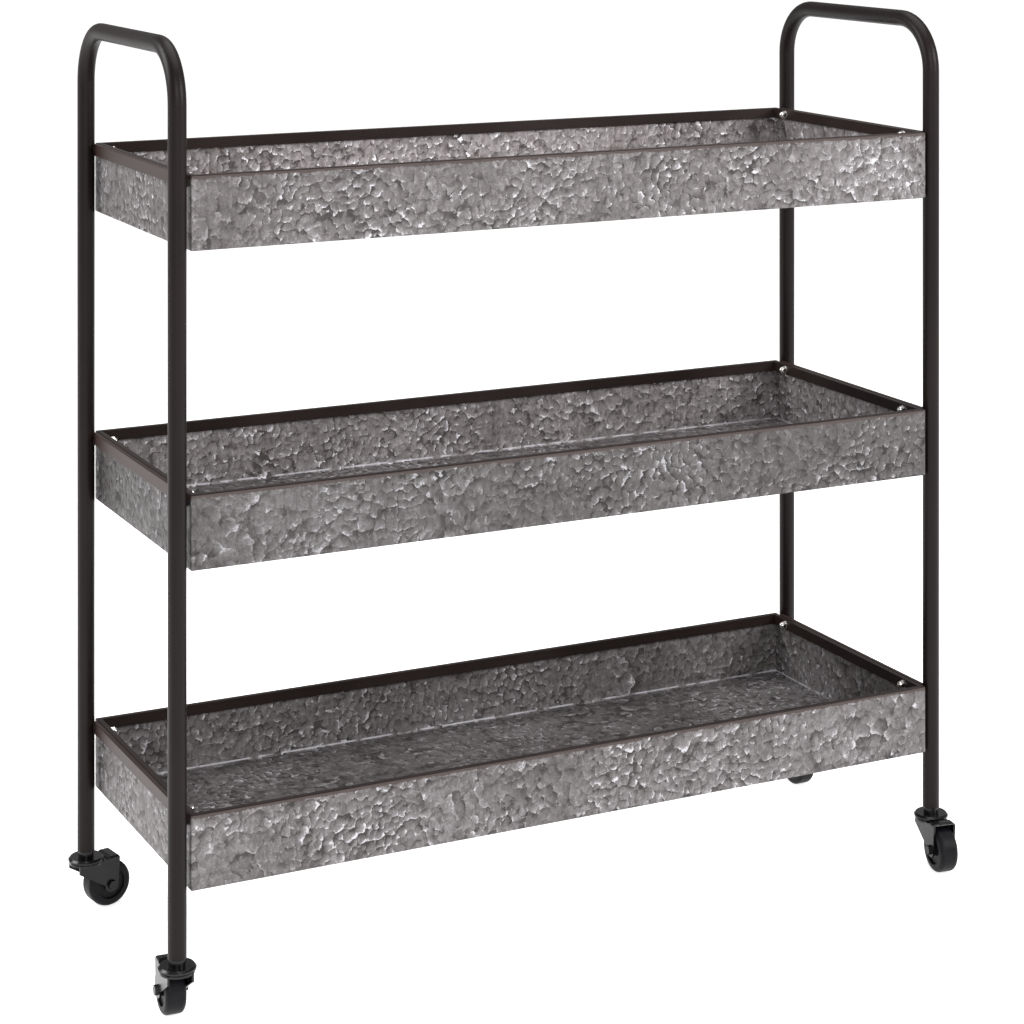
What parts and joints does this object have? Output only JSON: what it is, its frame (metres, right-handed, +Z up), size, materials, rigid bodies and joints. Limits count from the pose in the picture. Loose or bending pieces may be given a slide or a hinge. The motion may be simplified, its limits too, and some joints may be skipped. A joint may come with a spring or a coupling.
{
  "type": "plant trolley",
  "caption": "Rolling three-tier plant trolley: bent tube end frames with push handles, hammered galvanised trays bolted between them, and swivel casters.",
  "frame": {"origin": "on the floor, midway between the four leg axes", "axes": "+X along the trolley to its right-hand end as seen from the front, +Y across it to the rear, +Z up"},
  "size_m": [0.952, 0.3826, 0.9828],
  "materials": {
    "frame_paint": "dark bronze satin paint",
    "rim_bar_paint": "dark bronze satin paint",
    "galvanised_sheet": "hammered galvanised sheet, aged grey",
    "bright_fixings": "bright nickel plating",
    "plated_stud": "zinc plated thread",
    "black_fork": "gloss black paint on pressed steel",
    "axle_steel": "dark plated bolt",
    "bearing_steel": "polished bearing balls",
    "wheel_plastic": "moulded black plastic",
    "tyre_rubber": "smooth black tread"
  },
  "bodies": {
    "trolley_frame": {"bottom_cap_nuts": "bright_fixings", "bottom_rim_front_bar": "rim_bar_paint", "bottom_rim_left_bar": "rim_bar_paint", "bottom_rim_rear_bar": "rim_bar_paint", "bottom_rim_right_bar": "rim_bar_paint", "bottom_tray_pan": "galvanised_sheet", "bottom_washers": "bright_fixings", "bottom_weld_studs": "plated_stud", "front_left_caster_stem": "black_fork", "front_right_caster_stem": "black_fork", "left_frame_tube": "frame_paint", "left_rail_bottom": "frame_paint", "left_rail_middle": "frame_paint", "left_rail_top": "frame_paint", "left_weld_beads": "frame_paint", "leg_inserts": "plated_stud", "middle_cap_nuts": "bright_fixings", "middle_rim_front_bar": "rim_bar_paint", "middle_rim_left_bar": "rim_bar_paint", "middle_rim_rear_bar": "rim_bar_paint", "middle_rim_right_bar": "rim_bar_paint", "middle_tray_pan": "galvanised_sheet", "middle_washers": "bright_fixings", "middle_weld_studs": "plated_stud", "rear_left_caster_stem": "black_fork", "rear_right_caster_stem": "black_fork", "right_frame_tube": "frame_paint", "right_rail_bottom": "frame_paint", "right_rail_middle": "frame_paint", "right_rail_top": "frame_paint", "right_weld_beads": "frame_paint", "top_cap_nuts": "bright_fixings", "top_rim_front_bar": "rim_bar_paint", "top_rim_left_bar": "rim_bar_paint", "top_rim_rear_bar": "rim_bar_paint", "top_rim_right_bar": "rim_bar_paint", "top_tray_pan": "galvanised_sheet", "top_washers": "bright_fixings", "top_weld_studs": "plated_stud"},
    "front_left_caster": {"front_left_caster_fork": "black_fork", "front_left_caster_balls": "bearing_steel", "front_left_axle_bolt": "axle_steel"},
    "front_left_wheel": {"front_left_wheel_hub": "wheel_plastic", "front_left_tyre": "tyre_rubber"},
    "front_right_caster": {"front_right_caster_fork": "black_fork", "front_right_caster_balls": "bearing_steel", "front_right_axle_bolt": "axle_steel"},
    "front_right_wheel": {"front_right_wheel_hub": "wheel_plastic", "front_right_tyre": "tyre_rubber"},
    "rear_left_caster": {"rear_left_caster_fork": "black_fork", "rear_left_caster_balls": "bearing_steel", "rear_left_axle_bolt": "axle_steel"},
    "rear_left_wheel": {"rear_left_wheel_hub": "wheel_plastic", "rear_left_tyre": "tyre_rubber"},
    "rear_right_caster": {"rear_right_caster_fork": "black_fork", "rear_right_caster_balls": "bearing_steel", "rear_right_axle_bolt": "axle_steel"},
    "rear_right_wheel": {"rear_right_wheel_hub": "wheel_plastic", "rear_right_tyre": "tyre_rubber"}
  },
  "joints": [
    {"name": "front_left_swivel", "type": "hinge", "parent": "trolley_frame", "child": "front_left_caster", "pos_m": [-0.4565, -0.155, 0.055], "axis": [0, 0, 1], "continuous": true},
    {"name": "front_left_roll", "type": "hinge", "parent": "front_left_caster", "child": "front_left_wheel", "pos_m": [-0.45476, -0.13006, 0.025], "axis": [-0.9976, 0.0698, 0], "continuous": true},
    {"name": "front_right_swivel", "type": "hinge", "parent": "trolley_frame", "child": "front_right_caster", "pos_m": [0.4565, -0.155, 0.055], "axis": [0, 0, 1], "continuous": true},
    {"name": "front_right_roll", "type": "hinge", "parent": "front_right_caster", "child": "front_right_wheel", "pos_m": [0.45259, -0.17969, 0.025], "axis": [0.9877, -0.1564, 0], "continuous": true},
    {"name": "rear_left_swivel", "type": "hinge", "parent": "trolley_frame", "child": "rear_left_caster", "pos_m": [-0.4565, 0.155, 0.055], "axis": [0, 0, 1], "continuous": true},
    {"name": "rear_left_roll", "type": "hinge", "parent": "rear_left_caster", "child": "rear_left_wheel", "pos_m": [-0.43188, 0.15934, 0.025], "axis": [-0.1736, 0.9848, 0], "continuous": true},
    {"name": "rear_right_swivel", "type": "hinge", "parent": "trolley_frame", "child": "rear_right_caster", "pos_m": [0.4565, 0.155, 0.055], "axis": [0, 0, 1], "continuous": true},
    {"name": "rear_right_roll", "type": "hinge", "parent": "rear_right_caster", "child": "rear_right_wheel", "pos_m": [0.4565, 0.13, 0.025], "axis": [1, 0, 0], "continuous": true}
  ]
}
